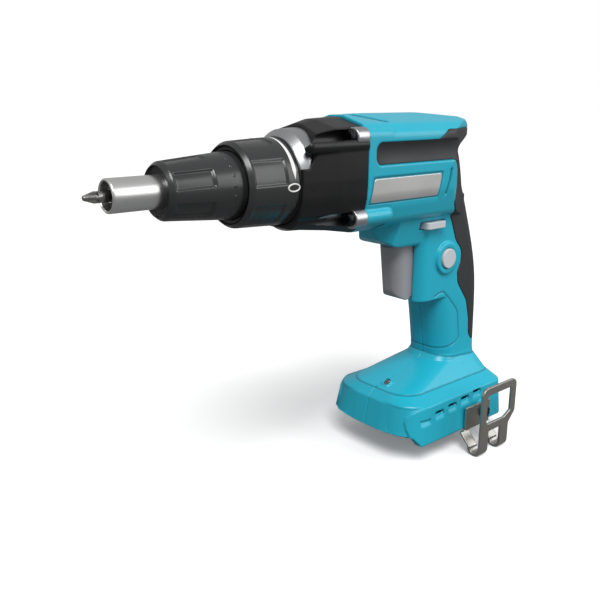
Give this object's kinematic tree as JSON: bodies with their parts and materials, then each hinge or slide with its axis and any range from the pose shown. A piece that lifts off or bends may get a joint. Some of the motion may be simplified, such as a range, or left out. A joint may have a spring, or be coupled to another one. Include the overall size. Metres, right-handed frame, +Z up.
{
  "type": "cordless drywall screwdriver",
  "caption": "Cordless drywall screwdriver with a depth-setting nose, sliding trigger, lock-on button, reversing lever, belt hook and battery slide, without its battery.",
  "frame": {"origin": "middle of the battery slide, on the plane of the base's underside", "axes": "+X forward along the driver bit, +Y to the tool's left, +Z up"},
  "size_m": [0.281, 0.096, 0.2176],
  "materials": {
    "teal_housing": "moulded glass-filled nylon, fine grain",
    "soft_grip": "over-moulded elastomer",
    "plate_metal": "brushed, bare",
    "screw_steel": "zinc plated",
    "cast_alloy": "die cast",
    "black_plastic": "moulded nylon",
    "grey_plastic": "moulded, smooth",
    "light_plastic": "moulded, smooth",
    "bright_steel": "turned",
    "bit_steel": "hardened",
    "spring_steel": "drawn wire",
    "gear_steel": "sintered",
    "bearing_steel": "ground",
    "sintered_bronze": "oil filled",
    "casing_alloy": "turned",
    "magnet": "nickel plated",
    "core_steel": "laminated",
    "copper_winding": "enamelled wire",
    "board": "circuit board",
    "potting": "potted module",
    "contact_brass": "tin plated",
    "insert_brass": "turned",
    "lens": "clear moulded",
    "hook_steel": "spring strip, satin"
  },
  "bodies": {
    "tool_body": {"housing_left": "teal_housing", "housing_right": "teal_housing", "grip_left": "soft_grip", "grip_right": "soft_grip", "name_plate_left": "plate_metal", "name_plate_right": "plate_metal", "housing_screws": "screw_steel", "cover_screws": "screw_steel", "hook_screw": "screw_steel", "gear_housing": "cast_alloy", "gear_housing_cover": "black_plastic", "terminal_block": "black_plastic", "switch_body": "black_plastic", "trigger_spring": "spring_steel", "lock_spring": "spring_steel", "ring_gear": "gear_steel", "front_bearing": "bearing_steel", "rear_bearing": "bearing_steel", "spindle_bush": "sintered_bronze", "bearing_bracket": "casing_alloy", "stator_core": "core_steel", "stator_windings": "copper_winding", "sensor_board": "board", "lamp_board": "board", "controller": "potting", "terminal_blades": "contact_brass", "hook_inserts": "insert_brass", "lamp_lens": "lens", "belt_hook": "hook_steel"},
    "nose": {"nose_casing": "casing_alloy", "snap_ring": "bright_steel"},
    "depth_ring": {"adjust_ring": "black_plastic"},
    "depth_stop": {"locator": "black_plastic", "nose_sleeve": "bright_steel"},
    "planet_carrier": {"carrier": "gear_steel", "planet_pins": "bright_steel", "clutch_spring": "spring_steel"},
    "planet_1": {"planet_gear_1": "gear_steel"},
    "planet_2": {"planet_gear_2": "gear_steel"},
    "planet_3": {"planet_gear_3": "gear_steel"},
    "rotor": {"rotor_shaft": "bright_steel", "sun_pinion": "gear_steel", "rotor_core": "core_steel", "rotor_magnet": "magnet", "cooling_fan": "black_plastic"},
    "spindle_carriage": {"thrust_washer": "bright_steel"},
    "spindle_unit": {"spindle": "bright_steel", "clutch_cam": "bright_steel", "driver_bit": "bit_steel", "bit_magnet": "magnet"},
    "trigger_unit": {"trigger": "grey_plastic", "switch_plunger": "light_plastic"},
    "lock_unit": {"lock_button": "light_plastic"},
    "lever_unit": {"reversing_lever": "light_plastic"}
  },
  "joints": [
    {"name": "nose_pull_off", "type": "slide", "parent": "tool_body", "child": "nose", "axis": [1, 0, 0], "range_m": [0, 0.11]},
    {"name": "depth_ring_turn", "type": "hinge", "parent": "nose", "child": "depth_ring", "pos_m": [0, 0, 0.17], "axis": [1, 0, 0], "range_deg": [-721, 721]},
    {"name": "depth_stop_slide", "type": "slide", "parent": "nose", "child": "depth_stop", "axis": [1, 0, 0], "range_m": [-0.004, 0.004]},
    {"name": "carrier_spin", "type": "hinge", "parent": "tool_body", "child": "planet_carrier", "pos_m": [0, 0, 0.17], "axis": [1, 0, 0], "continuous": true},
    {"name": "rotor_spin", "type": "hinge", "parent": "tool_body", "child": "rotor", "pos_m": [0, 0, 0.17], "axis": [1, 0, 0], "continuous": true},
    {"name": "spindle_push", "type": "slide", "parent": "tool_body", "child": "spindle_carriage", "axis": [-1, 0, 0], "range_m": [0, 0.004], "stiffness_N_per_m": 1500, "springref_m": -0.002, "deforming": ["clutch_spring"]},
    {"name": "spindle_spin", "type": "hinge", "parent": "spindle_carriage", "child": "spindle_unit", "pos_m": [0, 0, 0.17], "axis": [1, 0, 0], "continuous": true},
    {"name": "trigger_pull", "type": "slide", "parent": "tool_body", "child": "trigger_unit", "axis": [-1, 0, 0], "range_m": [0, 0.006], "stiffness_N_per_m": 700, "springref_m": -0.002, "deforming": ["trigger_spring"]},
    {"name": "lock_press", "type": "slide", "parent": "tool_body", "child": "lock_unit", "axis": [0, -1, 0], "range_m": [0, 0.002], "stiffness_N_per_m": 900, "springref_m": -0.001, "deforming": ["lock_spring"]},
    {"name": "lever_swing", "type": "hinge", "parent": "tool_body", "child": "lever_unit", "pos_m": [-0.008, 0, 0.136], "axis": [0, 0, 1], "range_deg": [-7, 7]},
    {"name": "planet_1_spin", "type": "hinge", "parent": "planet_carrier", "child": "planet_1", "pos_m": [0, 0, 0.1808], "axis": [1, 0, 0], "continuous": true},
    {"name": "planet_2_spin", "type": "hinge", "parent": "planet_carrier", "child": "planet_2", "pos_m": [0, -0.00935, 0.1646], "axis": [1, 0, 0], "continuous": true},
    {"name": "planet_3_spin", "type": "hinge", "parent": "planet_carrier", "child": "planet_3", "pos_m": [0, 0.00935, 0.1646], "axis": [1, 0, 0], "continuous": true}
  ],
  "couplings": [
    {"joint": "depth_ring_turn", "follows": "depth_stop_slide", "rad_per_m": 3141.6},
    {"joint": "rotor_spin", "follows": "carrier_spin", "ratio": 4.5},
    {"joint": "spindle_spin", "follows": "carrier_spin", "ratio": 1},
    {"joint": "planet_1_spin", "follows": "carrier_spin", "ratio": -2.8},
    {"joint": "planet_2_spin", "follows": "carrier_spin", "ratio": -2.8},
    {"joint": "planet_3_spin", "follows": "carrier_spin", "ratio": -2.8}
  ]
}
